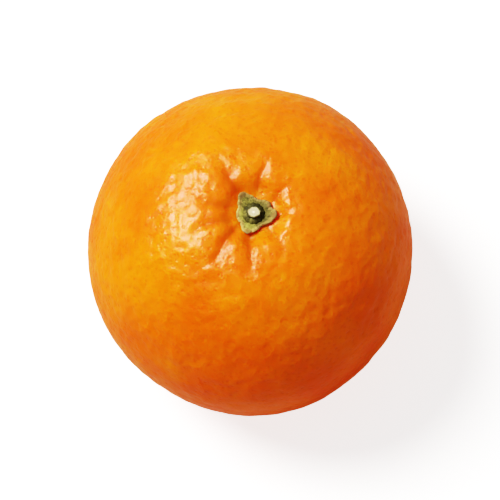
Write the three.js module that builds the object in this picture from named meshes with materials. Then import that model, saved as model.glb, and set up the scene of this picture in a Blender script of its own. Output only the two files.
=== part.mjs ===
// A whole mandarin in its peel, resting on its blossom end with the stem end up.
//
// It has three pieces: the fruit, which grew as one body; the dry calyx that sits in the hollow
// at the stem end; and the clipped stub of the stem on top of the calyx.
//
// Millimetres, +Z up. The origin lies on the surface that the fruit rests on, under the middle
// of its outline.

import * as THREE from 'three';

// ---- Driving dimensions -------------------------------------------------------------------

const FRUIT_DIAMETER = 62; // at the girth, before the lobes
const FRUIT_HEIGHT = 51; // from the flat spot to the shoulder round the hollow
const GIRTH_HEIGHT = 24.5; // level at which the fruit is widest

const FOOT_DIAMETER = 14; // the small flat spot that it rests on
const DIMPLE_DIAMETER = 6; // the blossom-end dimple inside the foot
const DIMPLE_DEPTH = 0.6;

const SHOULDER_DIAMETER = 14.5; // the highest ring, round the stem-end hollow
const HOLLOW_DEPTH = 1.8;
const SEAT_RIM = 0.8; // how far the hollow's level floor runs past the calyx's button

const LOWER_FULLNESS = 0.57; // 0.55 is a round quarter, and more is squarer
const UPPER_FULLNESS = 0.53;

const STEM_END_SHIFT = 0.9; // how far the stem end stands off the middle, towards +X

const STUB_DIAMETER = 2.4;
const STUB_HEIGHT = 0.8;
const STUB_FLARE = 0.15; // the stub is this much wider in radius where it joins the calyx
const WORN_EDGE = 0.15; // the edge of the stub's cut, and of the button

const BUTTON_RIM = 0.3; // level rim of the calyx's raised button, round the stub
const BUTTON_HEIGHT = 1.0;
const CALYX_GAP = 0.3; // air between the sepals and the peel
const SEPAL_THICKNESS = 0.45;
const SEPAL_NOTCH = 0.9; // how far out from the button two sepals meet
const SEPAL_HALF_ANGLE = 38; // degrees, from a sepal's midline to its side

// Gentle lobes round the girth. swell is a share of the radius, and towards is where one points.
const LOBES = [
  { count: 2, swell: 0.009, towards: 95 },
  { count: 3, swell: 0.004, towards: 45 },
  { count: 5, swell: 0.003, towards: 60 },
];

// Short creases that run out of the hollow over the shoulder. reach is the radius where one ends.
const CREASES = [
  { towards: 38, depth: 0.5, reach: 10 },
  { towards: 78, depth: 0.6, reach: 12 },
  { towards: 121, depth: 0.8, reach: 14 },
  { towards: 165, depth: 0.5, reach: 12 },
  { towards: 199, depth: 0.5, reach: 15 },
  { towards: 226, depth: 0.7, reach: 15 },
  { towards: 264, depth: 0.8, reach: 13 },
  { towards: 312, depth: 0.5, reach: 11 },
  { towards: 354, depth: 0.5, reach: 10 },
];
const CREASE_HALF_WIDTH = 1.1;
const CREASE_CLEARANCE = 0.8; // level peel between the seat and the start of a crease
const CREASE_RUN_IN = 2; // over which a crease comes to its full depth

// The calyx's five uneven sepals: where each points, and how far out from the button it reaches.
const SEPALS = [
  { towards: 30, length: 1.7 },
  { towards: 122, length: 2.6 },
  { towards: 186, length: 1.3 },
  { towards: 251, length: 2.3 },
  { towards: 354, length: 2.5 },
];

// Facets
const FRUIT_SEGMENTS = 64;
const HALF_PROFILE_STEPS = 13;
const HOLLOW_STEPS = 8;
const DIMPLE_STEPS = 3;
const CALYX_SEGMENTS = 48;
const SEPAL_STEPS = 4;
const STUB_SEGMENTS = 20;

// ---- Derived places -----------------------------------------------------------------------

const girthRadius = FRUIT_DIAMETER / 2;
const footRadius = FOOT_DIAMETER / 2;
const dimpleRadius = DIMPLE_DIAMETER / 2;
const shoulderRadius = SHOULDER_DIAMETER / 2;
const seatHeight = FRUIT_HEIGHT - HOLLOW_DEPTH;
const stubRadius = STUB_DIAMETER / 2;
const buttonTopRadius = stubRadius + STUB_FLARE + BUTTON_RIM;
const buttonRadius = buttonTopRadius + WORN_EDGE;
const seatRadius = buttonRadius + SEAT_RIM;
const sepalRootRadius = buttonRadius + CALYX_GAP;
const sepalNotchRadius = buttonRadius + SEPAL_NOTCH;
const creaseStart = seatRadius + CREASE_CLEARANCE;

// ---- Small helpers ------------------------------------------------------------------------

/** 0 at low and before, 1 at high and after, and smooth between them. */
function ease(value, low, high) {
  return THREE.MathUtils.smoothstep(value, low, high);
}

/** The angle in radians, 0 to pi, between a direction and one given in degrees. */
function angleFrom(direction, degrees) {
  const turn = direction - THREE.MathUtils.degToRad(degrees);
  return Math.abs(Math.atan2(Math.sin(turn), Math.cos(turn)));
}

/** A surface turned round +Z from a profile of (radius, height) points, from its base up. */
function turned(profile, segments) {
  return new THREE.LatheGeometry(profile, segments).rotateX(Math.PI / 2);
}

/** Moves each vertex of a geometry to where place(radius, direction, height) says. */
function reshape(geometry, place) {
  const position = geometry.attributes.position;
  for (let i = 0; i < position.count; i += 1) {
    const x = position.getX(i);
    const y = position.getY(i);
    const moved = place(Math.hypot(x, y), Math.atan2(y, x), position.getZ(i));
    position.setXYZ(i, moved.x, moved.y, moved.z);
  }
  return geometry;
}

/** A point from its distance to the axis, its direction and its height. */
function polar(radius, direction, height) {
  return new THREE.Vector3(radius * Math.cos(direction), radius * Math.sin(direction), height);
}

// ---- The fruit ----------------------------------------------------------------------------

/** Height of the hollow's wall above the seat, at a radius. */
function hollowRise(radius) {
  return HOLLOW_DEPTH * ease(radius, seatRadius, shoulderRadius);
}

/** The fruit's profile, from the middle of the dimple round the girth to the middle of the seat. */
function fruitProfile() {
  const profile = [];
  for (let i = 0; i <= DIMPLE_STEPS; i += 1) {
    const radius = (dimpleRadius * i) / DIMPLE_STEPS;
    profile.push(new THREE.Vector2(radius, DIMPLE_DEPTH * (1 - ease(radius, 0, dimpleRadius))));
  }
  const lower = new THREE.CubicBezierCurve(
    new THREE.Vector2(footRadius, 0),
    new THREE.Vector2(footRadius + LOWER_FULLNESS * (girthRadius - footRadius), 0),
    new THREE.Vector2(girthRadius, GIRTH_HEIGHT * (1 - LOWER_FULLNESS)),
    new THREE.Vector2(girthRadius, GIRTH_HEIGHT),
  );
  const upperRise = FRUIT_HEIGHT - GIRTH_HEIGHT;
  const upper = new THREE.CubicBezierCurve(
    new THREE.Vector2(girthRadius, GIRTH_HEIGHT),
    new THREE.Vector2(girthRadius, GIRTH_HEIGHT + UPPER_FULLNESS * upperRise),
    new THREE.Vector2(shoulderRadius + UPPER_FULLNESS * (girthRadius - shoulderRadius), FRUIT_HEIGHT),
    new THREE.Vector2(shoulderRadius, FRUIT_HEIGHT),
  );
  profile.push(...lower.getPoints(HALF_PROFILE_STEPS));
  profile.push(...upper.getPoints(HALF_PROFILE_STEPS).slice(1));
  for (let i = 1; i <= HOLLOW_STEPS; i += 1) {
    const radius = THREE.MathUtils.lerp(shoulderRadius, seatRadius, i / HOLLOW_STEPS);
    profile.push(new THREE.Vector2(radius, seatHeight + hollowRise(radius)));
  }
  profile.push(new THREE.Vector2(0, seatHeight));
  return profile;
}

/** How much wider than round the fruit is in a direction, as a factor. */
function lobeFactor(direction) {
  return LOBES.reduce((factor, lobe) => {
    const turn = direction - THREE.MathUtils.degToRad(lobe.towards);
    return factor + lobe.swell * Math.cos(lobe.count * turn);
  }, 1);
}

/** How deep the creases cut into the top at a place. */
function creaseDepth(radius, direction) {
  return CREASES.reduce((deepest, crease) => {
    const across = radius * Math.sin(Math.min(angleFrom(direction, crease.towards), Math.PI / 2));
    const along =
      ease(radius, creaseStart, creaseStart + CREASE_RUN_IN) *
      (1 - ease(radius, crease.reach / 2, crease.reach));
    const depth = crease.depth * along * Math.exp(-((across / CREASE_HALF_WIDTH) ** 2));
    return Math.max(deepest, depth);
  }, 0);
}

/** How far the axis stands towards +X at a height. */
function axisShift(height) {
  return STEM_END_SHIFT * (height / FRUIT_HEIGHT) ** 2;
}

/** Takes a place on the turned fruit to the real one, with its lobes, creases and lean. */
function fruitPlace(radius, direction, height) {
  const isTop = height > GIRTH_HEIGHT;
  const cut = isTop ? creaseDepth(radius, direction) : 0;
  const place = polar(radius * lobeFactor(direction), direction, height - cut);
  place.x += axisShift(height);
  return place;
}

const fruitGeometry = reshape(turned(fruitProfile(), FRUIT_SEGMENTS), fruitPlace);
fruitGeometry.computeBoundingBox();
const outlineMiddle = fruitGeometry.boundingBox.getCenter(new THREE.Vector3());
fruitGeometry.translate(-outlineMiddle.x, -outlineMiddle.y, 0);

const fruit = new THREE.Mesh(
  fruitGeometry,
  new THREE.MeshStandardMaterial({ color: 0xf08a12, roughness: 0.4, metalness: 0 }),
);
fruit.name = 'fruit';

// ---- The stem end: calyx and stub ----------------------------------------------------------

/** Distance from the calyx's middle to its edge in a direction. */
function sepalReach(direction) {
  const halfAngle = THREE.MathUtils.degToRad(SEPAL_HALF_ANGLE);
  return SEPALS.reduce((reach, sepal) => {
    const share = 1 - Math.min(angleFrom(direction, sepal.towards) / halfAngle, 1);
    return Math.max(reach, sepalNotchRadius + (sepal.length - SEPAL_NOTCH) * share);
  }, sepalNotchRadius);
}

/** The calyx before its edge is cut to sepals, from the middle of its base to that of its top. */
function calyxProfile() {
  const under = [];
  const over = [];
  for (let i = 0; i <= SEPAL_STEPS; i += 1) {
    const radius = THREE.MathUtils.lerp(sepalRootRadius, sepalNotchRadius, i / SEPAL_STEPS);
    under.push(new THREE.Vector2(radius, CALYX_GAP));
    over.push(new THREE.Vector2(radius, CALYX_GAP + SEPAL_THICKNESS));
  }
  return [
    new THREE.Vector2(0, 0),
    new THREE.Vector2(buttonRadius, 0),
    ...under,
    ...over.reverse(),
    new THREE.Vector2(buttonRadius, BUTTON_HEIGHT - WORN_EDGE),
    new THREE.Vector2(buttonTopRadius, BUTTON_HEIGHT),
    new THREE.Vector2(0, BUTTON_HEIGHT),
  ];
}

/** Draws the rim of the calyx out to its sepals and lays them along the hollow's wall. */
function calyxPlace(radius, direction, height) {
  const share = (radius - sepalRootRadius) / (sepalNotchRadius - sepalRootRadius);
  const drawn = THREE.MathUtils.lerp(sepalRootRadius, sepalReach(direction), share);
  const reached = share > 0 ? drawn : radius;
  return polar(reached, direction, height + hollowRise(reached));
}

const calyx = new THREE.Mesh(
  reshape(turned(calyxProfile(), CALYX_SEGMENTS), calyxPlace),
  new THREE.MeshStandardMaterial({ color: 0x8a8440, roughness: 0.75, metalness: 0 }),
);
calyx.name = 'calyx';

/** The stub of the stem, flared where it joins the calyx. */
function stubProfile() {
  return [
    new THREE.Vector2(0, 0),
    new THREE.Vector2(stubRadius + STUB_FLARE, 0),
    new THREE.Vector2(stubRadius, STUB_HEIGHT / 2),
    new THREE.Vector2(stubRadius, STUB_HEIGHT - WORN_EDGE),
    new THREE.Vector2(stubRadius - WORN_EDGE, STUB_HEIGHT),
    new THREE.Vector2(0, STUB_HEIGHT),
  ];
}

const stemStub = new THREE.Mesh(
  turned(stubProfile(), STUB_SEGMENTS),
  new THREE.MeshStandardMaterial({ color: 0xd9cf9c, roughness: 0.8, metalness: 0 }),
);
stemStub.name = 'stem_stub';
stemStub.position.z = BUTTON_HEIGHT;

const stemEnd = new THREE.Group();
stemEnd.add(calyx, stemStub);
stemEnd.position.set(axisShift(seatHeight) - outlineMiddle.x, -outlineMiddle.y, seatHeight);

const mandarin = new THREE.Group();
mandarin.add(fruit, stemEnd);

export default mandarin;
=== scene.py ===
"""A whole mandarin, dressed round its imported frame: pebbled peel, dry calyx and clipped stem.

Lengths are in metres unless a name says otherwise, and +Z is up. The fruit rests on its blossom
end with the stem end up. Its place and its overall sizes come from the frame.
"""

import logging
import math
from collections.abc import Callable, Sequence
from dataclasses import dataclass, field
from enum import Enum
from typing import Any, Union

import bpy
import numpy as np
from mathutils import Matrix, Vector


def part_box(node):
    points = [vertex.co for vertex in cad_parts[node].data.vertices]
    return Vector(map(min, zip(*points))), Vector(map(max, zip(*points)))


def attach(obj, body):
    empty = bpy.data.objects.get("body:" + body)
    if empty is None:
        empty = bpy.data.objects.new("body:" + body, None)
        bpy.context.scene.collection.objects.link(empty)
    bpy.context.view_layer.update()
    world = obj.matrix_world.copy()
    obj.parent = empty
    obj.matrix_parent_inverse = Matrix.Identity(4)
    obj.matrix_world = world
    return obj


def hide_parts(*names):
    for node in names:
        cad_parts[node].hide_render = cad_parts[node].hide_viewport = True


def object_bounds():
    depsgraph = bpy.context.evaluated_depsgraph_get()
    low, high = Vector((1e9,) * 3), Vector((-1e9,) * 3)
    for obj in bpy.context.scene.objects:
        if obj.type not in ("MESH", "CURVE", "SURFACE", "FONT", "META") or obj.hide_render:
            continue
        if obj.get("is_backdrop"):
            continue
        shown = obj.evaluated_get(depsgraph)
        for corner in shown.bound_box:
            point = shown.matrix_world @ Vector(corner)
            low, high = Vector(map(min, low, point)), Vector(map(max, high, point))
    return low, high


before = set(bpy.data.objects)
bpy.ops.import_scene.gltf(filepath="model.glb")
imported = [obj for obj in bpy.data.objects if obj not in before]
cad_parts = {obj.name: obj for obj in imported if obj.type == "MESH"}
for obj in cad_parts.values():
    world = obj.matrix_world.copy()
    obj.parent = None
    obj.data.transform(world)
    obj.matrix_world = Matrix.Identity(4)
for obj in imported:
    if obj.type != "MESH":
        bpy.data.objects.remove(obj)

LOG = logging.getLogger("mandarin")
MM = 0.001
BODY = "root"

Colour = tuple[float, float, float]
Number = Union["Value", float]


# ---- Shader expressions ----


class Op(Enum):
    """The sums that a shader expression may hold."""

    ADD = "ADD"
    SUBTRACT = "SUBTRACT"
    MULTIPLY = "MULTIPLY"
    LARGER = "MAXIMUM"


class Ray(Enum):
    """Ways in which light may reach what is being drawn."""

    DIRECT = "Is Camera Ray"
    SCATTERED = "Is Diffuse Ray"


class Value:
    """A number that changes over a surface, for use in Python expressions."""

    def __init__(self, shader: "Nodes", socket: bpy.types.NodeSocket) -> None:
        """Wraps one output socket of a node."""
        self.shader = shader
        self.socket = socket

    def __add__(self, other: Number) -> "Value":
        """This plus another number."""
        return self.shader.math(Op.ADD, self, other)

    def __radd__(self, other: Number) -> "Value":
        """Another number plus this."""
        return self.shader.math(Op.ADD, other, self)

    def __sub__(self, other: Number) -> "Value":
        """This less another number."""
        return self.shader.math(Op.SUBTRACT, self, other)

    def __rsub__(self, other: Number) -> "Value":
        """Another number less this."""
        return self.shader.math(Op.SUBTRACT, other, self)

    def __mul__(self, other: Number) -> "Value":
        """This times another number."""
        return self.shader.math(Op.MULTIPLY, self, other)

    def __rmul__(self, other: Number) -> "Value":
        """Another number times this."""
        return self.shader.math(Op.MULTIPLY, other, self)

    def larger(self, other: Number) -> "Value":
        """The larger of this and another number."""
        return self.shader.math(Op.LARGER, self, other)


class Nodes:
    """A node tree that is written as expressions."""

    def __init__(self, owner: bpy.types.Material | bpy.types.World) -> None:
        """Empties a node tree.

        Args:
            owner: the material or the world that the tree belongs to.
        """
        owner.use_nodes = True
        self.tree = owner.node_tree
        self.tree.nodes.clear()

    def node(
        self,
        kind: str,
        settings: dict[str, Any] | None = None,
        inputs: dict[str | int, Any] | None = None,
    ) -> bpy.types.Node:
        """Adds one node.

        Args:
            kind: the node's type.
            settings: its own properties, which are set first.
            inputs: what each input socket holds, by name or number: a constant or a link.

        Returns:
            The node.
        """
        made = self.tree.nodes.new(kind)
        for key, setting in (settings or {}).items():
            setattr(made, key, setting)
        for key, given in (inputs or {}).items():
            socket = made.inputs[key]
            if isinstance(given, Value):
                given = given.socket
            if isinstance(given, bpy.types.NodeSocket):
                self.tree.links.new(given, socket)
            elif socket.type == "RGBA" and len(given) == 3:
                socket.default_value = (*given, 1.0)
            else:
                socket.default_value = given
        return made

    def math(self, operation: Op, first: Number, second: Number) -> Value:
        """The sum of two numbers, one of which may be a constant."""
        made = self.node("ShaderNodeMath", {"operation": operation.value}, {0: first, 1: second})
        return Value(self, made.outputs[0])

    def ray_is(self, kind: Ray) -> Value:
        """1 for light that travels in one way, and 0 for all other light."""
        return Value(self, self.node("ShaderNodeLightPath").outputs[kind.value])


class Shader(Nodes):
    """A material whose nodes are written as expressions on Object coordinates."""

    def __init__(self, name: str) -> None:
        """Starts an empty material.

        Args:
            name: the material's name.
        """
        self.material = bpy.data.materials.new(name)
        super().__init__(self.material)
        self.place = self.node("ShaderNodeTexCoord").outputs["Object"]

    def ease(self, value: Value, low: float, high: float) -> Value:
        """Turns a value into a smooth step.

        Args:
            value: the value.
            low: where the step starts.
            high: where it ends.

        Returns:
            0 where the value is at or below low, 1 at or above high, and smooth between them.
        """
        settings = {"interpolation_type": "SMOOTHSTEP"}
        inputs = {"Value": value, "From Min": low, "From Max": high}
        return Value(self, self.node("ShaderNodeMapRange", settings, inputs).outputs["Result"])

    def mix(self, share: Number, under: Any, over: Any) -> bpy.types.NodeSocket:
        """One colour laid over another, by a share from 0 to 1."""
        settings = {"data_type": "RGBA"}
        return self.node("ShaderNodeMix", settings, {0: share, 6: under, 7: over}).outputs[2]

    def noise(self, size: float, detail: float = 2.0) -> Value:
        """Soft random patches of that size, about 0.5 on average, with finer layers on them."""
        inputs = {"Vector": self.place, "Scale": 1 / size, "Detail": detail}
        return Value(self, self.node("ShaderNodeTexNoise", None, inputs).outputs[0])

    def spots(self, spacing: float, radius: float) -> tuple[Value, Value]:
        """Small round spots, scattered.

        Args:
            spacing: about how far apart they lie.
            radius: how far a spot reaches, as a share of the spacing.

        Returns:
            1 at the middle of a spot and 0 off it; and a random number for each spot.
        """
        inputs = {"Vector": self.place, "Scale": 1 / spacing}
        made = self.node("ShaderNodeTexVoronoi", {"feature": "F1"}, inputs)
        distance = Value(self, made.outputs["Distance"])
        parts = self.node("ShaderNodeSeparateColor", None, {0: made.outputs["Color"]})
        return 1 - self.ease(distance, radius * 0.3, radius), Value(self, parts.outputs[0])

    def attribute(self, name: str) -> Value:
        """A number that the mesh itself carries."""
        settings = {"attribute_type": "GEOMETRY", "attribute_name": name}
        return Value(self, self.node("ShaderNodeAttribute", settings).outputs["Fac"])

    def relative_to(self, centre: Sequence[float]) -> bpy.types.NodeSocket:
        """The place on the object, counted from a centre."""
        inputs = {0: self.place, 1: tuple(centre)}
        return self.node("ShaderNodeVectorMath", {"operation": "SUBTRACT"}, inputs).outputs[0]

    def length(self, vector: bpy.types.NodeSocket) -> Value:
        """A vector's length."""
        made = self.node("ShaderNodeVectorMath", {"operation": "LENGTH"}, {0: vector})
        return Value(self, made.outputs["Value"])

    def stretched(self, vector: bpy.types.NodeSocket, by: Sequence[float]) -> bpy.types.NodeSocket:
        """A vector multiplied axis by axis."""
        settings = {"operation": "MULTIPLY"}
        return self.node("ShaderNodeVectorMath", settings, {0: vector, 1: tuple(by)}).outputs[0]

    def bump(self, height: Value, depth: float) -> bpy.types.NodeSocket:
        """The normal of a surface whose height, from 0 to 1, stands for that depth."""
        inputs = {"Height": height, "Distance": depth, "Strength": 1.0}
        return self.node("ShaderNodeBump", None, inputs).outputs["Normal"]

    def close(self, inputs: dict[str, Any]) -> bpy.types.Material:
        """Ends the material with its surface.

        Args:
            inputs: what each socket of the surface shader holds.

        Returns:
            The material.
        """
        surface = self.node("ShaderNodeBsdfPrincipled", None, inputs)
        self.node("ShaderNodeOutputMaterial", None, {"Surface": surface.outputs[0]})
        return self.material


# ---- Mesh tools ----


def deselect_all() -> None:
    """Leaves nothing selected."""
    bpy.ops.object.select_all(action="DESELECT")


def take_up(piece: bpy.types.Object) -> None:
    """Makes a piece the only selected object, and the active one.

    Args:
        piece: the object.
    """
    deselect_all()
    piece.select_set(True)
    bpy.context.view_layer.objects.active = piece


def new_piece(name: str) -> bpy.types.Object:
    """Names the object that an operator has just added, and its mesh.

    Args:
        name: the name for both.

    Returns:
        The object.
    """
    piece = bpy.context.active_object
    piece.name = name
    piece.data.name = name
    return piece


def apply_modifier(piece: bpy.types.Object, kind: str, **settings: Any) -> None:
    """Puts a modifier on a piece and applies it.

    Args:
        piece: the object.
        kind: the modifier's type.
        settings: its properties.
    """
    take_up(piece)
    modifier = piece.modifiers.new(kind.lower(), kind)
    for key, setting in settings.items():
        setattr(modifier, key, setting)
    bpy.ops.object.modifier_apply(modifier=modifier.name)


def subdivide(piece: bpy.types.Object, levels: int) -> None:
    """Rounds and refines a piece by subdivision."""
    apply_modifier(piece, "SUBSURF", levels=levels, render_levels=levels)


class Relief(Enum):
    """The kinds of unevenness: soft random bumps, or dimples with rounded ridges between them."""

    SOFT = "CLOUDS"
    DIMPLED = "VORONOI"


@dataclass(frozen=True)
class Unevenness:
    """One layer of a surface's unevenness.

    It has the size of one bump or dimple, the height from the lowest possible point to the
    highest, and a kind.
    """

    grain: float
    height: float
    relief: Relief = Relief.SOFT


def roughen(piece: bpy.types.Object, layer: Unevenness) -> None:
    """Raises and lowers a surface along its normals.

    Args:
        piece: the object.
        layer: the unevenness to give it.
    """
    texture = bpy.data.textures.new(f"{piece.name}_relief", layer.relief.value)
    texture.noise_scale = layer.grain
    if layer.relief is Relief.SOFT:
        texture.noise_depth = 1
    apply_modifier(piece, "DISPLACE", texture=texture, strength=layer.height, mid_level=0.5)


def points_of(piece: bpy.types.Object) -> np.ndarray:
    """Reads a piece's vertices.

    Args:
        piece: the object.

    Returns:
        Rows of x, y and z.
    """
    points = np.empty(len(piece.data.vertices) * 3, np.float32)
    piece.data.vertices.foreach_get("co", points)
    return points.reshape(-1, 3).astype(float)


def set_points(piece: bpy.types.Object, points: np.ndarray) -> None:
    """Moves a piece's vertices to new places."""
    piece.data.vertices.foreach_set("co", points.astype(np.float32).ravel())
    piece.data.update()


def store(piece: bpy.types.Object, name: str, numbers: np.ndarray) -> None:
    """Gives a piece's mesh one number at each vertex, for its material to read."""
    attribute = piece.data.attributes.new(name, "FLOAT", "POINT")
    attribute.data.foreach_set("value", numbers.astype(np.float32))


def settle(piece: bpy.types.Object) -> None:
    """Puts a piece's place into its mesh, merges doubles and turns its faces outwards.

    Args:
        piece: the object.
    """
    take_up(piece)
    bpy.ops.object.transform_apply(location=True, rotation=True, scale=True)
    bpy.ops.object.mode_set(mode="EDIT")
    bpy.ops.mesh.select_all(action="SELECT")
    bpy.ops.mesh.remove_doubles(threshold=0.001 * MM)
    bpy.ops.mesh.normals_make_consistent(inside=False)
    bpy.ops.object.mode_set(mode="OBJECT")
    bpy.ops.object.shade_smooth()


def ease(value: np.ndarray, low: float, high: float) -> np.ndarray:
    """0 where a value is at or below low, 1 at or above high, and smooth between them."""
    share = np.clip((value - low) / (high - low), 0, 1)
    return share * share * (3 - 2 * share)


@dataclass(frozen=True)
class Wave:
    """A wave round an axis: how many crests, how high they are, and its phase in radians."""

    count: int
    swell: float
    phase: float = 0.0


def waves_at(direction: np.ndarray, waves: Sequence[Wave]) -> np.ndarray:
    """The sum of some waves in each direction, which is in radians."""
    return sum(wave.swell * np.sin(wave.count * direction + wave.phase) for wave in waves)


def angle_from(direction: np.ndarray, degrees: float) -> np.ndarray:
    """The signed angle in radians from a direction given in degrees."""
    turn = direction - math.radians(degrees)
    return np.arctan2(np.sin(turn), np.cos(turn))


def bezier(points: Sequence[tuple[float, float]], steps: int) -> np.ndarray:
    """Draws a cubic curve.

    Args:
        points: its four control points.
        steps: how many points to draw.

    Returns:
        Rows of the drawn points.
    """
    share = np.linspace(0, 1, steps)[:, None]
    start, out, back, end = (np.array(point) for point in points)
    return (
        start * (1 - share) ** 3
        + out * 3 * share * (1 - share) ** 2
        + back * 3 * share**2 * (1 - share)
        + end * share**3
    )


# ---- Finishes ----


@dataclass(frozen=True)
class PeelFinish:
    """Waxy mandarin peel: deep orange, full of small oil glands, each a soft pit.

    A share says how strongly a tint covers the peel where it lies, and the tint in the creases is
    painted shade. Light passes through the peel, and the glow says how much of it does and how
    far.
    """

    ripe: Colour = (0.79, 0.165, 0.003)
    golden: Colour = (0.85, 0.245, 0.005)
    gland: Colour = (0.66, 0.12, 0.003)
    # Painted shade: this colour darkens the peel along the creases, where shade falls.
    painted_furrow_shade: Colour = (0.62, 0.10, 0.003)
    scar: Colour = (0.30, 0.16, 0.06)
    gland_share: float = 0.3
    small_gland_share: float = 0.22
    wax_share: float = 0.35
    painted_furrow_shade_share: float = 0.8
    scar_share: float = 0.85
    patch_size: float = 16 * MM
    wax_size: float = 2.6 * MM
    grain_size: float = 0.45 * MM
    gland_spacing: float = 1.0 * MM
    small_gland_spacing: float = 0.62 * MM
    gland_radius_share: float = 0.46
    pit_depth: float = 0.075 * MM
    roughness: float = 0.33
    refraction: float = 1.4
    shine: float = 0.33
    flesh_glow: float = 0.6
    glow_depth: float = 5 * MM
    glow_reach: Colour = (1.0, 0.22, 0.04)
    wax_coat: float = 0.06
    wax_coat_roughness: float = 0.2
    scar_radius: float = 1.1 * MM
    scar_edge: float = 1.7
    ragged_size: float = 1.2 * MM
    ragged_by: float = 0.8 * MM

    def material(self, blossom_end: Vector) -> bpy.types.Material:
        """Makes the peel's material.

        Args:
            blossom_end: the middle of the dimple under the fruit.

        Returns:
            The material.
        """
        shader = Shader("peel")
        pits, chance = shader.spots(self.gland_spacing, self.gland_radius_share)
        small_pits, small_chance = shader.spots(self.small_gland_spacing, self.gland_radius_share)
        glands = pits * (0.55 + 0.45 * chance)
        small_glands = small_pits * (0.3 + 0.7 * small_chance)
        wax = shader.noise(self.wax_size, 3.0)

        patches = shader.ease(shader.noise(self.patch_size), 0.32, 0.68)
        colour = shader.mix(patches, self.ripe, self.golden)
        colour = shader.mix(glands * self.gland_share, colour, self.gland)
        colour = shader.mix(small_glands * self.small_gland_share, colour, self.gland)
        colour = shader.mix(shader.ease(wax, 0.5, 0.8) * self.wax_share, colour, self.golden)
        # Painted shade along the creases, deepest where a crease cuts deepest.
        colour = shader.mix(shader.attribute("painted_furrow_shade") * self.painted_furrow_shade_share, colour, self.painted_furrow_shade)

        scar = self._scar(shader, blossom_end)
        colour = shader.mix(scar * self.scar_share, colour, self.scar)

        roughness = self.roughness + (wax - 0.5) * 0.22 + glands * 0.06 + scar * 0.3
        grain = shader.noise(self.grain_size)
        relief = 0.75 - glands * 0.6 - small_glands * 0.2 + grain * 0.16
        return shader.close(
            {
                "Base Color": colour,
                "Roughness": roughness,
                "Normal": shader.bump(relief, self.pit_depth),
                "IOR": self.refraction,
                "Specular IOR Level": self.shine,
                "Subsurface Weight": self.flesh_glow,
                "Subsurface Radius": self.glow_reach,
                "Subsurface Scale": self.glow_depth,
                "Coat Weight": self.wax_coat,
                "Coat Roughness": self.wax_coat_roughness,
            }
        )

    def _scar(self, shader: Shader, blossom_end: Vector) -> Value:
        """Draws the small ragged scar that the blossom left.

        Args:
            shader: the peel's shader.
            blossom_end: the middle of the scar.

        Returns:
            1 on the scar and 0 off it.
        """
        from_end = shader.length(shader.relative_to(blossom_end))
        edge = from_end + shader.noise(self.ragged_size) * self.ragged_by
        return 1 - shader.ease(edge, self.scar_radius, self.scar_radius * self.scar_edge)


@dataclass(frozen=True)
class CalyxFinish:
    """Dry sepals: olive green, brown at their tips, with tan rims and painted light and shade."""

    olive: Colour = (0.15, 0.125, 0.025)
    green: Colour = (0.36, 0.33, 0.09)
    # Tan for the rims: partly the dry edges, partly a painted highlight.
    tan: Colour = (0.54, 0.38, 0.16)
    brown: Colour = (0.17, 0.085, 0.022)
    # Near-black for real stains and for the painted shade at the roots round the stub.
    dark_stain_and_shade: Colour = (0.032, 0.03, 0.008)
    fibre: float = 0.3 * MM
    blotch: float = 0.9 * MM
    fibre_depth: float = 0.09 * MM
    roughness: float = 0.66
    refraction: float = 1.4

    def material(self) -> bpy.types.Material:
        """Makes the calyx's material, from what its mesh carries.

        The mesh says how far out on its sepal each point lies, how much painted light the sepal
        takes, pale on the lit side, and where the sepal's point is. The sepals' roots get painted
        shade round the stub, and their rims are tan, partly as a painted highlight.

        Returns:
            The material.
        """
        shader = Shader("calyx")
        out = shader.attribute("out")
        # Painted light: each sepal's share, high on the lit side and low on the shaded side.
        tone = shader.attribute("tone")
        fibres = shader.noise(self.fibre, 3.0)
        blotches = shader.noise(self.blotch)

        # Olive to green by random fibres, and by painted light on the lit sepals.
        fibres_and_painted_light = tone * 0.75 + (fibres - 0.5) * 1.3
        colour = shader.mix(shader.ease(fibres_and_painted_light, 0.0, 0.85), self.olive, self.green)
        # Tan rims: partly the sepals' dry edges, partly a painted highlight that grows on the lit
        # side.
        rim = shader.ease(out + (fibres - 0.5) * 0.7 + (blotches - 0.5) * 0.7, 0.5, 0.85)
        colour = shader.mix(rim * (0.35 + tone * 0.45), colour, self.tan)
        tips = shader.ease(out * 0.7 + blotches * 0.6 + shader.attribute("tip") * 0.4, 1.0, 1.3)
        colour = shader.mix(tips * 0.55, colour, self.brown)
        # Random blotches, real stains, made stronger on the shaded sepals as painted shade.
        stain_and_painted_shade = shader.ease(blotches, 0.55, 0.72) * (1 - tone)
        colour = shader.mix(stain_and_painted_shade * 0.5, colour, self.dark_stain_and_shade)
        # Painted shade: the button and the sepals' roots darkened round the stub, less on the lit
        # side.
        root = 1 - shader.ease(out + (fibres - 0.5) * 0.2, 0.0, 0.14)
        colour = shader.mix(root * (0.9 - tone * 0.45), colour, self.dark_stain_and_shade)
        return shader.close(
            {
                "Base Color": colour,
                "Roughness": self.roughness + (fibres - 0.5) * 0.2,
                "Normal": shader.bump(fibres * 0.7 + blotches * 0.3, self.fibre_depth),
                "IOR": self.refraction,
            }
        )


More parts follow.
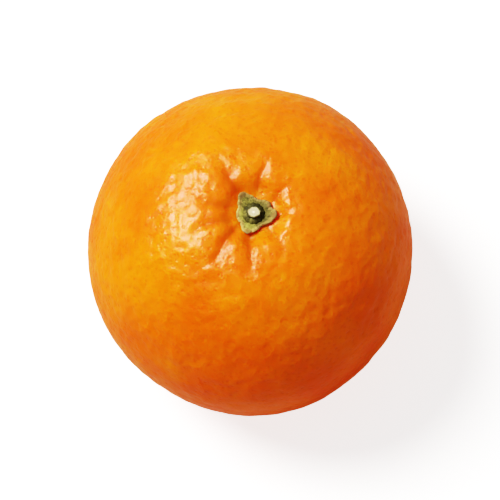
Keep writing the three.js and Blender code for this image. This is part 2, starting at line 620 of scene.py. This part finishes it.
@dataclass(frozen=True)
class StemFinish:
    """A clipped stem: pale wood with a pith in the middle, inside a ring of green-brown bark.

    The bark starts and is full at shares of the stub's half width, and between two depths below
    the cut.
    """

    wood: Colour = (0.58, 0.48, 0.28)
    pith: Colour = (0.84, 0.76, 0.58)
    bark: Colour = (0.085, 0.08, 0.018)
    pith_radius: float = 0.1 * MM
    wood_radius: float = 0.45 * MM
    bark_starts: float = 0.72
    bark_full: float = 0.96
    ragged_size: float = 0.7 * MM
    ragged_by: float = 0.55 * MM
    ring_size: float = 0.16 * MM
    ring_depth: float = 0.04 * MM
    bark_below: tuple[float, float] = (0.2 * MM, 0.4 * MM)
    roughness: float = 0.72
    refraction: float = 1.45

    def material(self, cut: Vector, radii: tuple[float, float]) -> bpy.types.Material:
        """Makes the stub's material.

        Args:
            cut: the middle of the cut end.
            radii: the stub's half widths along X and Y, where its bark is.

        Returns:
            The material.
        """
        shader = Shader("stem")
        offset = shader.relative_to(cut)
        wide, narrow = radii
        radius = shader.length(shader.stretched(offset, (1, wide / narrow, 0)))
        below = shader.length(shader.stretched(offset, (0, 0, 1)))
        wander = (shader.noise(self.ragged_size) - 0.5) * self.ragged_by
        rings = shader.noise(self.ring_size)

        outwards = shader.ease(radius + wander, self.pith_radius, self.wood_radius)
        colour = shader.mix(outwards, self.pith, self.wood)
        colour = shader.mix(shader.ease(rings, 0.45, 0.75) * 0.3, colour, self.bark)
        bark = shader.ease(radius + wander, wide * self.bark_starts, wide * self.bark_full)
        side = shader.ease(below, *self.bark_below)
        colour = shader.mix(bark.larger(side), colour, self.bark)
        return shader.close(
            {
                "Base Color": colour,
                "Roughness": self.roughness,
                "Normal": shader.bump(rings, self.ring_depth),
                "IOR": self.refraction,
            }
        )


# ---- The fruit ----


@dataclass(frozen=True)
class Lobe:
    """A gentle lobe pattern round the girth: how many, how far out of round, and where one is."""

    count: int
    swell: float
    towards: float


@dataclass(frozen=True)
class Crease:
    """A short crease that runs out of the stem-end hollow: its direction, depth and end."""

    towards: float
    depth: float
    reach: float


@dataclass
class Fruit:
    """The fruit itself, an oblate body with a hollow at the stem end and a small flat foot.

    An unevenness is the share that the foot, the sides and the seat keep of the pebbling, which
    is full near the top. It grows over a range of heights above the foot, and then from the girth
    up to a multiple of the girth's height.
    """

    low: Vector
    high: Vector
    stem_axis: Vector
    seat_height: float
    stem_end_shift: float = 0.9 * MM
    girth_height: float = 24.5 * MM
    foot_radius: float = 7.0 * MM
    dimple_radius: float = 3.0 * MM
    dimple_depth: float = 0.6 * MM
    shoulder_radius: float = 7.25 * MM
    seat_radius: float = 2.6 * MM
    lower_fullness: float = 0.57
    upper_fullness: float = 0.53
    dimple_steps: int = 60
    side_steps: int = 1200
    hollow_steps: int = 240
    subdivisions: int = 7
    crease_half_width: float = 1.0 * MM
    crease_start: float = 3.2 * MM
    crease_run_in: float = 2.0 * MM
    crease_sharpness: float = 1.15
    crease_wander: float = 0.07
    crease_wave: float = 2.3 * MM
    wrinkle_count: int = 19
    wrinkle_depth: tuple[float, float] = (0.12 * MM, 0.34 * MM)
    wrinkle_reach: tuple[float, float] = (6.5 * MM, 11.0 * MM)
    wrinkle_width: float = 0.5
    wrinkle_wander: float = 0.09
    wrinkle_wave: float = 1.7 * MM
    foot_unevenness: float = 0.35
    side_unevenness: float = 0.6
    seat_unevenness: float = 0.3
    above_foot: tuple[float, float] = (0.1 * MM, 3.0 * MM)
    above_girth: float = 1.7
    calm_round_seat: float = 1.3
    seat_edge: float = 0.2 * MM
    seed: int = 7
    lobes: tuple[Lobe, ...] = (Lobe(2, 0.009, 95), Lobe(3, 0.004, 45), Lobe(5, 0.003, 60))
    creases: tuple[Crease, ...] = (
        Crease(38, 0.5 * MM, 10 * MM),
        Crease(78, 0.6 * MM, 12 * MM),
        Crease(121, 0.8 * MM, 14 * MM),
        Crease(165, 0.5 * MM, 12 * MM),
        Crease(199, 0.5 * MM, 15 * MM),
        Crease(226, 0.7 * MM, 15 * MM),
        Crease(264, 0.8 * MM, 13 * MM),
        Crease(312, 0.5 * MM, 11 * MM),
        Crease(354, 0.5 * MM, 10 * MM),
    )
    pebbling: tuple[Unevenness, ...] = (
        Unevenness(9.0 * MM, 0.45 * MM),
        Unevenness(2.6 * MM, 0.34 * MM),
        Unevenness(2.0 * MM, 0.20 * MM, Relief.DIMPLED),
        Unevenness(1.2 * MM, 0.11 * MM, Relief.DIMPLED),
    )

    @property
    def height(self) -> float:
        """The fruit's height."""
        return self.high.z - self.low.z

    def profile(self) -> np.ndarray:
        """Draws the fruit's section, from the middle of the dimple round the girth to the seat.

        Returns:
            Rows of radius and height.
        """
        girth = (self.high.x - self.low.x + self.high.y - self.low.y) / 4
        foot, shoulder = self.foot_radius, self.shoulder_radius
        rise = self.height - self.girth_height
        dimple = np.linspace(0, self.dimple_radius, self.dimple_steps)
        dimple_height = self.dimple_depth * (1 - ease(dimple, 0, self.dimple_radius))
        lower = bezier(
            [
                (foot, 0.0),
                (foot + self.lower_fullness * (girth - foot), 0.0),
                (girth, self.girth_height * (1 - self.lower_fullness)),
                (girth, self.girth_height),
            ],
            self.side_steps,
        )
        upper = bezier(
            [
                (girth, self.girth_height),
                (girth, self.girth_height + self.upper_fullness * rise),
                (shoulder + self.upper_fullness * (girth - shoulder), self.height),
                (shoulder, self.height),
            ],
            self.side_steps,
        )
        hollow = np.linspace(shoulder, 0, self.hollow_steps)
        return np.vstack(
            [
                np.column_stack([dimple, dimple_height]),
                lower,
                upper[1:],
                np.column_stack([hollow, self.hollow_height(hollow)])[1:],
            ]
        )

    def hollow_height(self, radius: np.ndarray) -> np.ndarray:
        """Height of the hollow's wall at a radius from its middle."""
        depth = self.high.z - self.seat_height
        return self.seat_height + depth * ease(radius, self.seat_radius, self.shoulder_radius)

    def lobe_factor(self, direction: np.ndarray) -> np.ndarray:
        """Works out the lobes round the girth.

        Args:
            direction: directions in radians.

        Returns:
            How much wider than round the fruit is in each direction.
        """
        factor = np.ones_like(direction)
        for lobe in self.lobes:
            factor += lobe.swell * np.cos(lobe.count * (direction - math.radians(lobe.towards)))
        return factor

    def crease_cut(self, radius: np.ndarray, direction: np.ndarray) -> np.ndarray:
        """Cuts the creases and the finer wrinkles between them into the top.

        Args:
            radius: distances from the axis.
            direction: directions in radians.

        Returns:
            How deep they cut at each place.
        """
        cut = np.zeros_like(radius)
        for crease in self.creases:
            wander = self.crease_wander * np.sin(radius / self.crease_wave + crease.towards)
            cut = np.maximum(cut, self._one_cut(radius, direction + wander, crease, 1.0))
        draw = np.random.default_rng(self.seed)
        for i in range(self.wrinkle_count):
            towards = 360 * (i + draw.uniform(-0.35, 0.35)) / self.wrinkle_count
            depth = draw.uniform(*self.wrinkle_depth)
            reach = draw.uniform(*self.wrinkle_reach)
            wander = self.wrinkle_wander * np.sin(radius / self.wrinkle_wave + i)
            wrinkle = Crease(towards, depth, reach)
            one = self._one_cut(radius, direction + wander, wrinkle, self.wrinkle_width)
            cut = np.maximum(cut, one)
        return cut

    def _one_cut(
        self, radius: np.ndarray, direction: np.ndarray, crease: Crease, width: float
    ) -> np.ndarray:
        """Cuts one crease.

        Args:
            radius: distances from the axis.
            direction: directions in radians.
            crease: the crease.
            width: its width, as a share of the usual one.

        Returns:
            How deep it cuts at each place.
        """
        turn = np.clip(np.abs(angle_from(direction, crease.towards)), 0, math.pi / 2)
        across = radius * np.sin(turn) / (self.crease_half_width * width)
        run_in = ease(radius, self.crease_start, self.crease_start + self.crease_run_in)
        run_out = 1 - ease(radius, crease.reach / 2, crease.reach)
        return crease.depth * run_in * run_out * np.exp(-np.abs(across) ** self.crease_sharpness)

    def _shape(self, ball: np.ndarray) -> tuple[np.ndarray, np.ndarray]:
        """Takes points on a unit ball to the fruit's surface.

        Args:
            ball: rows of x, y and z, each one long.

        Returns:
            The points on the fruit, and how deep in a crease each one lies, from 0 to 1.
        """
        profile = self.profile()
        steps = np.hypot(*np.diff(profile, axis=0).T)
        along = np.concatenate([[0], np.cumsum(steps)]) / steps.sum()
        share = 0.5 + np.arcsin(np.clip(ball[:, 2], -1, 1)) / math.pi
        radius = np.interp(share, along, profile[:, 0])
        height = np.interp(share, along, profile[:, 1])
        direction = np.arctan2(ball[:, 1], ball[:, 0])

        top = height > self.girth_height
        cut = np.where(top, self.crease_cut(radius, direction), 0)
        reach = radius * self.lobe_factor(direction)
        height = height - cut
        lean = self.stem_end_shift * (height / self.height) ** 2
        points = np.column_stack(
            [reach * np.cos(direction) + lean, reach * np.sin(direction), height + self.low.z]
        )
        middle = (points[:, :2].min(0) + points[:, :2].max(0)) / 2
        points[:, :2] += np.array((self.low + self.high) / 2)[:2] - middle
        deepest = max(crease.depth for crease in self.creases)
        return points, cut / deepest

    def build(self) -> bpy.types.Object:
        """Makes the fruit from a cube, rounded to a ball and drawn to the fruit's section.

        Returns:
            The finished piece.
        """
        deselect_all()
        bpy.ops.mesh.primitive_cube_add(size=2)
        piece = new_piece("peel")
        subdivide(piece, self.subdivisions)
        apply_modifier(piece, "CAST", cast_type="SPHERE", factor=1.0)
        ball = points_of(piece)
        ball /= np.linalg.norm(ball, axis=1)[:, None]
        smooth, painted_furrow_shade = self._shape(ball)
        set_points(piece, smooth)
        # The crease depth is kept on the mesh as the mask for the peel's painted shade in the
        # creases.
        store(piece, "painted_furrow_shade", painted_furrow_shade)
        for layer in self.pebbling:
            roughen(piece, layer)
        share = self._unevenness_share(smooth)
        points = smooth + (points_of(piece) - smooth) * share[:, None]
        points[:, 2] = np.maximum(points[:, 2], self.low.z)
        set_points(piece, points)
        settle(piece)
        return piece

    def _unevenness_share(self, points: np.ndarray) -> np.ndarray:
        """Calms the peel's unevenness on the foot, the sides and the seat.

        Args:
            points: places on the smooth fruit.

        Returns:
            How much of its unevenness each place keeps.
        """
        height = points[:, 2] - self.low.z
        share = np.full_like(height, self.foot_unevenness)
        share += (self.side_unevenness - self.foot_unevenness) * ease(height, *self.above_foot)
        top = ease(height, self.girth_height, self.girth_height * self.above_girth)
        share += (1 - self.side_unevenness) * top
        seat = ease(height, self.seat_height - self.seat_edge, self.seat_height)
        radius = np.hypot(*(points[:, :2] - np.array(self.stem_axis)[:2]).T)
        near_seat = radius < self.seat_radius * self.calm_round_seat
        return share * np.where(near_seat, 1 - (1 - self.seat_unevenness) * seat, 1.0)

    def dress(self, piece: bpy.types.Object, finish: PeelFinish) -> None:
        """Gives the fruit its peel and its place in the frame.

        Args:
            piece: the fruit.
            finish: its peel.
        """
        middle = (self.low + self.high) / 2
        blossom_end = Vector((middle.x, middle.y, self.low.z + self.dimple_depth))
        piece.data.materials.append(finish.material(blossom_end))
        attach(piece, BODY)
        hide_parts("fruit")


# ---- The stem end ----


@dataclass(frozen=True)
class Sepal:
    """One pointed lobe of the calyx.

    It has a direction, a length outside the button, a height to which its tip curls, and a
    share of painted light, from 0 on the shaded side to 1 on the lit side.
    """

    towards: float
    length: float
    curl: float
    tone: float


@dataclass
class StemEnd:
    """The calyx in the hollow, and the clipped stub of the stem on top of it.

    The stub's cut end is worked in steps, each an inset from the edge and a rise.
    """

    axis: Vector
    seat_height: float
    button_height: float
    stub_height: float
    hollow: Callable[[np.ndarray], np.ndarray]
    stub_radii: tuple[float, float] = (1.28 * MM, 1.08 * MM)
    stub_sides: int = 40
    stub_flare: float = 0.18
    stub_ribs: tuple[Wave, ...] = (Wave(7, 0.04), Wave(11, 0.03, 1.0))
    stub_slant: tuple[float, float] = (0.10, -0.08)
    stub_lowered: float = 0.05 * MM
    stub_cut_steps: tuple[tuple[float, float], ...] = (
        (0.08 * MM, 0.05 * MM),
        (0.14 * MM, 0.03 * MM),
        (0.3 * MM, -0.02 * MM),
        (0.3 * MM, -0.03 * MM),
        (0.2 * MM, -0.05 * MM),
    )
    stub_worn_edge: float = 0.06 * MM
    stub_worn_angle: float = 50.0
    stub_grain: Unevenness = Unevenness(0.3 * MM, 0.08 * MM)
    button_radius: float = 1.85 * MM
    notch: float = 0.85 * MM
    sepal_thickness: float = 0.28 * MM
    sepal_lift: float = 0.42 * MM
    sepal_rib: float = 0.16 * MM
    rim_rise: float = 0.12 * MM
    rim_fall: float = 0.2 * MM
    pucker: float = 0.05 * MM
    pucker_count: int = 31
    crinkle: float = 0.05
    crinkle_count: int = 13
    half_angle: float = 42.0
    pointedness: float = 0.6
    ragged: tuple[Wave, ...] = (Wave(9, 0.045, 1.0), Wave(23, 0.035))
    sides: int = 144
    sepal_rings: int = 16
    button_rings: int = 7
    # The last number of each sepal is its painted light: high for the sepals on the lit left side.
    sepals: tuple[Sepal, ...] = (
        Sepal(30, 1.70 * MM, 0.10 * MM, 0.05),
        Sepal(122, 2.60 * MM, 0.30 * MM, 0.5),
        Sepal(186, 1.30 * MM, 0.10 * MM, 0.95),
        Sepal(251, 2.30 * MM, 0.20 * MM, 0.85),
        Sepal(354, 2.50 * MM, 0.35 * MM, 0.15),
    )

    def _edge(self, direction: np.ndarray) -> np.ndarray:
        """Draws the outline of the sepals.

        Args:
            direction: directions in radians.

        Returns:
            Distance from the calyx's middle to its edge in each direction.
        """
        edge = np.full_like(direction, self.notch)
        for sepal in self.sepals:
            share = self._nearness(direction, sepal, 1.0)
            pointed = self.pointedness * share + (1 - self.pointedness) * ease(share, 0, 1)
            edge = np.maximum(edge, self.notch + (sepal.length - self.notch) * pointed)
        return self.button_radius + edge * (1 + waves_at(direction, self.ragged))

    def _nearness(self, direction: np.ndarray, sepal: Sepal, width: float) -> np.ndarray:
        """1 on a sepal's midline, falling to 0 at its sides, or at a share of the way there."""
        turn = np.abs(angle_from(direction, sepal.towards)) / math.radians(self.half_angle)
        return np.clip(1 - turn / width, 0, 1)

    def _by_sepal(
        self, direction: np.ndarray, amount: Callable[[Sepal], float], width: float = 1.0
    ) -> np.ndarray:
        """Spreads an amount over each sepal, in full on its midline and less at its sides.

        Args:
            direction: directions in radians.
            amount: the amount that a sepal has.
            width: where it falls to nothing, as a share of the way to the sepal's side.

        Returns:
            The amount in each direction.
        """
        total = np.zeros_like(direction)
        for sepal in self.sepals:
            near = ease(self._nearness(direction, sepal, width), 0, 1)
            total = np.maximum(total, amount(sepal) * near)
        return total

    def build_calyx(self) -> bpy.types.Object:
        """Makes the calyx from a ring drawn out to its sepals, and its raised button.

        Returns:
            The finished piece.
        """
        deselect_all()
        bpy.ops.mesh.primitive_circle_add(vertices=self.sides, radius=1.0, fill_type="NOTHING")
        piece = new_piece("sepals")
        bpy.ops.object.mode_set(mode="EDIT")
        for ring in range(self.button_rings + self.sepal_rings):
            bpy.ops.mesh.extrude_edges_move()
            grown = (ring + 2) / (ring + 1)
            bpy.ops.transform.resize(value=(grown, grown, 1), center_override=(0, 0, 0))
        bpy.ops.mesh.select_all(action="DESELECT")
        bpy.ops.object.mode_set(mode="OBJECT")

        flat = points_of(piece)
        rings = np.hypot(flat[:, 0], flat[:, 1]) - 1
        direction = np.arctan2(flat[:, 1], flat[:, 0])
        points, out = self._calyx_shape(rings, direction)
        set_points(piece, points)
        store(piece, "out", out)
        # Painted light, spread over each sepal from its midline.
        store(piece, "tone", self._by_sepal(direction, lambda sepal: sepal.tone, 1.4))
        store(piece, "tip", self._by_sepal(direction, lambda sepal: 1.0, 0.5))
        self._fill_middle(piece)
        apply_modifier(piece, "SOLIDIFY", thickness=self.sepal_thickness, offset=-1)
        subdivide(piece, 1)
        piece.location = (self.axis.x, self.axis.y, self.seat_height)
        settle(piece)
        return piece

    def _calyx_shape(
        self, ring: np.ndarray, direction: np.ndarray
    ) -> tuple[np.ndarray, np.ndarray]:
        """Places the calyx's rings: first those of the button, then those of the sepals.

        Args:
            ring: which ring each point is on, from 0 inside.
            direction: the direction of each point, in radians.

        Returns:
            The points, counted from the middle of the seat, and how far out on its sepal each
            one lies, from 0 to 1.
        """
        wave = np.sin(self.crinkle_count * direction)
        button_reach, button_height = self._button_shape(ring / self.button_rings, wave)

        out = np.clip((ring - self.button_rings) / self.sepal_rings, 0, 1)
        root = self.button_radius * (1 + self.crinkle * wave)
        reach = root + out * (self._edge(direction) - root)
        wall = self.hollow(reach) - self.seat_height
        swell = self.sepal_lift * (0.6 + 0.4 * ease(out, 0.0, 0.35))
        rib = self._by_sepal(direction, lambda sepal: self.sepal_rib, 0.35) * np.sin(math.pi * out)
        curl = self._by_sepal(direction, lambda sepal: sepal.curl) * out**2.5
        rim = self.rim_rise * ease(out, 0.7, 0.95) - self.rim_fall * ease(out, 0.9, 1.0)
        pucker = self.pucker * np.sin(self.pucker_count * direction) * out
        height = swell + wall + rib + curl + rim + pucker

        on_button = ring <= self.button_rings
        reach = np.where(on_button, button_reach, reach)
        height = np.where(on_button, button_height, height)
        points = np.column_stack([reach * np.cos(direction), reach * np.sin(direction), height])
        return points, out

    def _button_shape(
        self, share: np.ndarray, wave: np.ndarray
    ) -> tuple[np.ndarray, np.ndarray]:
        """Rounds the button down from its top to the roots of the sepals.

        Args:
            share: how far down the button each point lies, from 0, or past 1 on the sepals.
            wave: the crinkle at each point, from -1 to 1.

        Returns:
            Each point's distance from the axis, and its height above the seat.
        """
        share = np.clip(share, 0, 1)
        fall = self.button_height - self.sepal_lift * 0.6
        reach = self.button_radius * (0.5 + 0.5 * np.sin(share * math.pi / 2))
        reach = reach * (1 + self.crinkle * wave * ease(share, 0.3, 1))
        height = self.button_height - fall * (1 - np.cos(share * math.pi / 2))
        height += self.pucker * wave * np.sin(share * math.pi)
        return reach, height

    def _fill_middle(self, piece: bpy.types.Object) -> None:
        """Closes the calyx's inner ring with a face under the stub.

        Args:
            piece: the calyx.
        """
        inner = self.button_radius * 0.51
        take_up(piece)
        for vertex in piece.data.vertices:
            vertex.select = math.hypot(vertex.co.x, vertex.co.y) < inner
        bpy.ops.object.mode_set(mode="EDIT")
        bpy.ops.mesh.edge_face_add()
        bpy.ops.mesh.inset(thickness=self.button_radius * 0.2)
        bpy.ops.mesh.poke()
        bpy.ops.object.mode_set(mode="OBJECT")

    def build_stub(self) -> bpy.types.Object:
        """Makes the stub from a cylinder, with a worn edge, a slanted cut and a sunken pith.

        Returns:
            The finished piece.
        """
        deselect_all()
        wide, _ = self.stub_radii
        bpy.ops.mesh.primitive_cylinder_add(
            vertices=self.stub_sides, radius=wide, depth=self.stub_height
        )
        piece = new_piece("stub")
        top = self.stub_height / 2 - 0.01 * MM
        for face in piece.data.polygons:
            face.select = face.center.z > top
        bpy.ops.object.mode_set(mode="EDIT")
        bpy.ops.mesh.select_mode(type="FACE")
        for inset, rise in self.stub_cut_steps:
            bpy.ops.mesh.inset(thickness=inset)
            bpy.ops.transform.translate(value=(0, 0, rise))
        bpy.ops.mesh.poke()
        bpy.ops.mesh.select_all(action="SELECT")
        bpy.ops.mesh.subdivide(number_cuts=2)
        bpy.ops.object.mode_set(mode="OBJECT")

        set_points(piece, self._stub_shape(points_of(piece)))
        worn = math.radians(self.stub_worn_angle)
        apply_modifier(piece, "BEVEL", width=self.stub_worn_edge, segments=2, angle_limit=worn)
        subdivide(piece, 1)
        roughen(piece, self.stub_grain)
        rise = self.seat_height + self.button_height + self.stub_height / 2
        piece.location = (self.axis.x, self.axis.y, rise)
        settle(piece)
        return piece

    def _stub_shape(self, points: np.ndarray) -> np.ndarray:
        """Ribs the stub, flares its foot, makes it oval and slants its cut.

        Args:
            points: places on the plain stub, counted from its middle.

        Returns:
            The points in their new places.
        """
        wide, narrow = self.stub_radii
        low = ease(-points[:, 2], -0.1 * MM, self.stub_height / 2)
        direction = np.arctan2(points[:, 1], points[:, 0])
        ribs = 1 + waves_at(direction, self.stub_ribs)
        points[:, :2] *= (ribs * (1 + self.stub_flare * low))[:, None]
        points[:, 1] *= narrow / wide
        points[:, 2] += (1 - low) * (points[:, :2] @ self.stub_slant - self.stub_lowered)
        return points

    def dress(
        self,
        calyx: bpy.types.Object,
        stub: bpy.types.Object,
        calyx_finish: CalyxFinish,
        stem_finish: StemFinish,
    ) -> None:
        """Gives the calyx and the stub their finishes and their places in the frame.

        Args:
            calyx: the calyx.
            stub: the stub of the stem.
            calyx_finish: the calyx's finish.
            stem_finish: the stub's finish.
        """
        top = self.seat_height + self.button_height + self.stub_height
        cut = Vector((self.axis.x, self.axis.y, top))
        calyx.data.materials.append(calyx_finish.material())
        stub.data.materials.append(stem_finish.material(cut, self.stub_radii))
        for piece, node, slot in ((calyx, "calyx", "calyx"), (stub, "stem_stub", "stem")):
            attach(piece, BODY)
            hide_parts(node)


# ---- The studio ----


@dataclass
class Studio:
    """A pale floor, soft daylight, one broad key light and the camera.

    The tones are a curve of bright steps: what comes in, and what is drawn.
    """

    target: Vector
    floor_size: float = 14.0
    floor_colour: Colour = (0.85, 0.85, 0.845)
    floor_bounce: Colour = (0.5, 0.13, 0.03)
    floor_mirrored: Colour = (0.62, 0.42, 0.29)
    floor_glow: Colour = (0.75, 0.75, 0.75)
    under_glow: Colour = (0.36, 0.34, 0.19)
    camera_elevation: float = 74.5
    camera_distance: float = 0.65
    lens_mm: float = 247.0
    key_direction: Vector = field(default_factory=lambda: Vector((-0.52, 0.27, 0.81)))
    key_strength: float = 4.0
    key_width: float = 25.0
    back_direction: Vector = field(default_factory=lambda: Vector((0.1, 0.86, 0.5)))
    back_strength: float = 0.36
    front_direction: Vector = field(default_factory=lambda: Vector((0.9, -0.4, 0.12)))
    front_strength: float = 0.34
    fill_width: float = 100.0
    light_colour: Colour = (1.0, 0.985, 0.96)
    backdrop: float = 3.0
    sky: float = 0.17
    tones: tuple[tuple[float, float], ...] = (
        (0.0, 0.0), (0.15, 0.15), (0.3, 0.295), (0.45, 0.39),
        (0.7, 0.465), (1.1, 0.54), (2.0, 0.6), (3.0, 0.62),
    )

    def build_floor(self) -> bpy.types.Object:
        """Lays a wide plain floor, which isn't part of the object.

        It glows a little, as a light table does, which keeps its shadows soft, and it throws
        warm light back, as neighbouring fruit would.

        Returns:
            The floor.
        """
        deselect_all()
        bpy.ops.mesh.primitive_plane_add(size=self.floor_size)
        floor = new_piece("floor")
        shader = Shader("floor")
        scattered = shader.ray_is(Ray.SCATTERED)
        direct = shader.ray_is(Ray.DIRECT)
        thrown_back = shader.mix(scattered, self.floor_mirrored, self.floor_bounce)
        unseen_glow = shader.mix(scattered, (0.0, 0.0, 0.0), self.under_glow)
        finish = {
            "Base Color": shader.mix(direct, thrown_back, self.floor_colour),
            "Roughness": 0.8,
            "IOR": 1.2,
            "Emission Color": shader.mix(direct, unseen_glow, self.floor_glow),
            "Emission Strength": 1.0,
        }
        floor.data.materials.append(shader.close(finish))
        floor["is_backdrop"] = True
        return floor

    def build_lights(self) -> None:
        """Sets a key light, two weak fills, an even sky and the white backdrop."""
        self._add_light("key", self.key_direction, self.key_strength, self.key_width)
        self._add_light("back_fill", self.back_direction, self.back_strength, self.fill_width)
        self._add_light("front_fill", self.front_direction, self.front_strength, self.fill_width)
        world = bpy.data.worlds.new("studio")
        bpy.context.scene.world = world
        nodes = Nodes(world)
        strength = nodes.ray_is(Ray.DIRECT) * (self.backdrop - self.sky) + self.sky
        inputs = {"Color": (1.0, 1.0, 1.0), "Strength": strength}
        background = nodes.node("ShaderNodeBackground", None, inputs)
        nodes.node("ShaderNodeOutputWorld", None, {"Surface": background.outputs[0]})

    def _add_light(self, name: str, direction: Vector, strength: float, width: float) -> None:
        """Adds a far-off light.

        Args:
            name: the light's name.
            direction: where it stands, seen from the object.
            strength: its strength on a surface that faces it.
            width: how wide it looks, in degrees.
        """
        bpy.ops.object.light_add(type="SUN")
        light = bpy.context.active_object
        light.name = name
        light.data.energy = strength
        light.data.angle = math.radians(width)
        light.data.color = self.light_colour
        light.rotation_mode = "QUATERNION"
        light.rotation_quaternion = direction.to_track_quat("Z", "Y")

    def build_camera(self) -> None:
        """Sets the camera, looking steeply down at the fruit from in front."""
        bpy.ops.object.camera_add()
        camera = bpy.context.active_object
        camera.name = "camera"
        camera.data.lens = self.lens_mm
        rise = math.radians(self.camera_elevation)
        back = Vector((0, -math.cos(rise), math.sin(rise)))
        camera.location = self.target + back * self.camera_distance
        camera.rotation_mode = "QUATERNION"
        camera.rotation_quaternion = (-back).to_track_quat("-Z", "Y")
        camera.data.clip_start = 0.01
        camera.data.clip_end = 50
        bpy.context.scene.camera = camera

    def set_tones(self) -> None:
        """Gives the picture deep shades and soft bright tones, as on film."""
        view = bpy.context.scene.view_settings
        view.view_transform = "Standard"
        view.look = "Very High Contrast"
        view.use_curve_mapping = True
        mapping = view.curve_mapping
        mapping.clip_max_x = self.tones[-1][0]
        curve = mapping.curves[3]
        curve.points[0].location = self.tones[0]
        curve.points[1].location = self.tones[-1]
        for place in self.tones[1:-1]:
            curve.points.new(*place)
        mapping.update()


# ---- Everything, in order ----


def main() -> None:
    """Builds and dresses the fruit and its stem end, and sets the studio round them."""
    logging.basicConfig(level=logging.INFO, format="%(name)s: %(message)s")
    cad_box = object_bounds()
    low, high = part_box("fruit")
    calyx_low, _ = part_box("calyx")
    stub_low, stub_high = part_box("stem_stub")
    stem_axis = (stub_low + stub_high) / 2

    fruit = Fruit(low, high, stem_axis, calyx_low.z)
    peel = fruit.build()
    fruit.dress(peel, PeelFinish())

    stem_end = StemEnd(
        axis=stem_axis,
        seat_height=calyx_low.z,
        button_height=stub_low.z - calyx_low.z,
        stub_height=stub_high.z - stub_low.z,
        hollow=fruit.hollow_height,
    )
    calyx = stem_end.build_calyx()
    stub = stem_end.build_stub()
    stem_end.dress(calyx, stub, CalyxFinish(), StemFinish())
    for piece in (peel, calyx, stub):
        LOG.info("%s: %d faces", piece.name, len(piece.data.polygons))

    studio = Studio(target=(cad_box[0] + cad_box[1]) / 2)
    studio.build_floor()
    studio.build_lights()
    studio.build_camera()
    studio.set_tones()


if __name__ == "__main__":
    main()
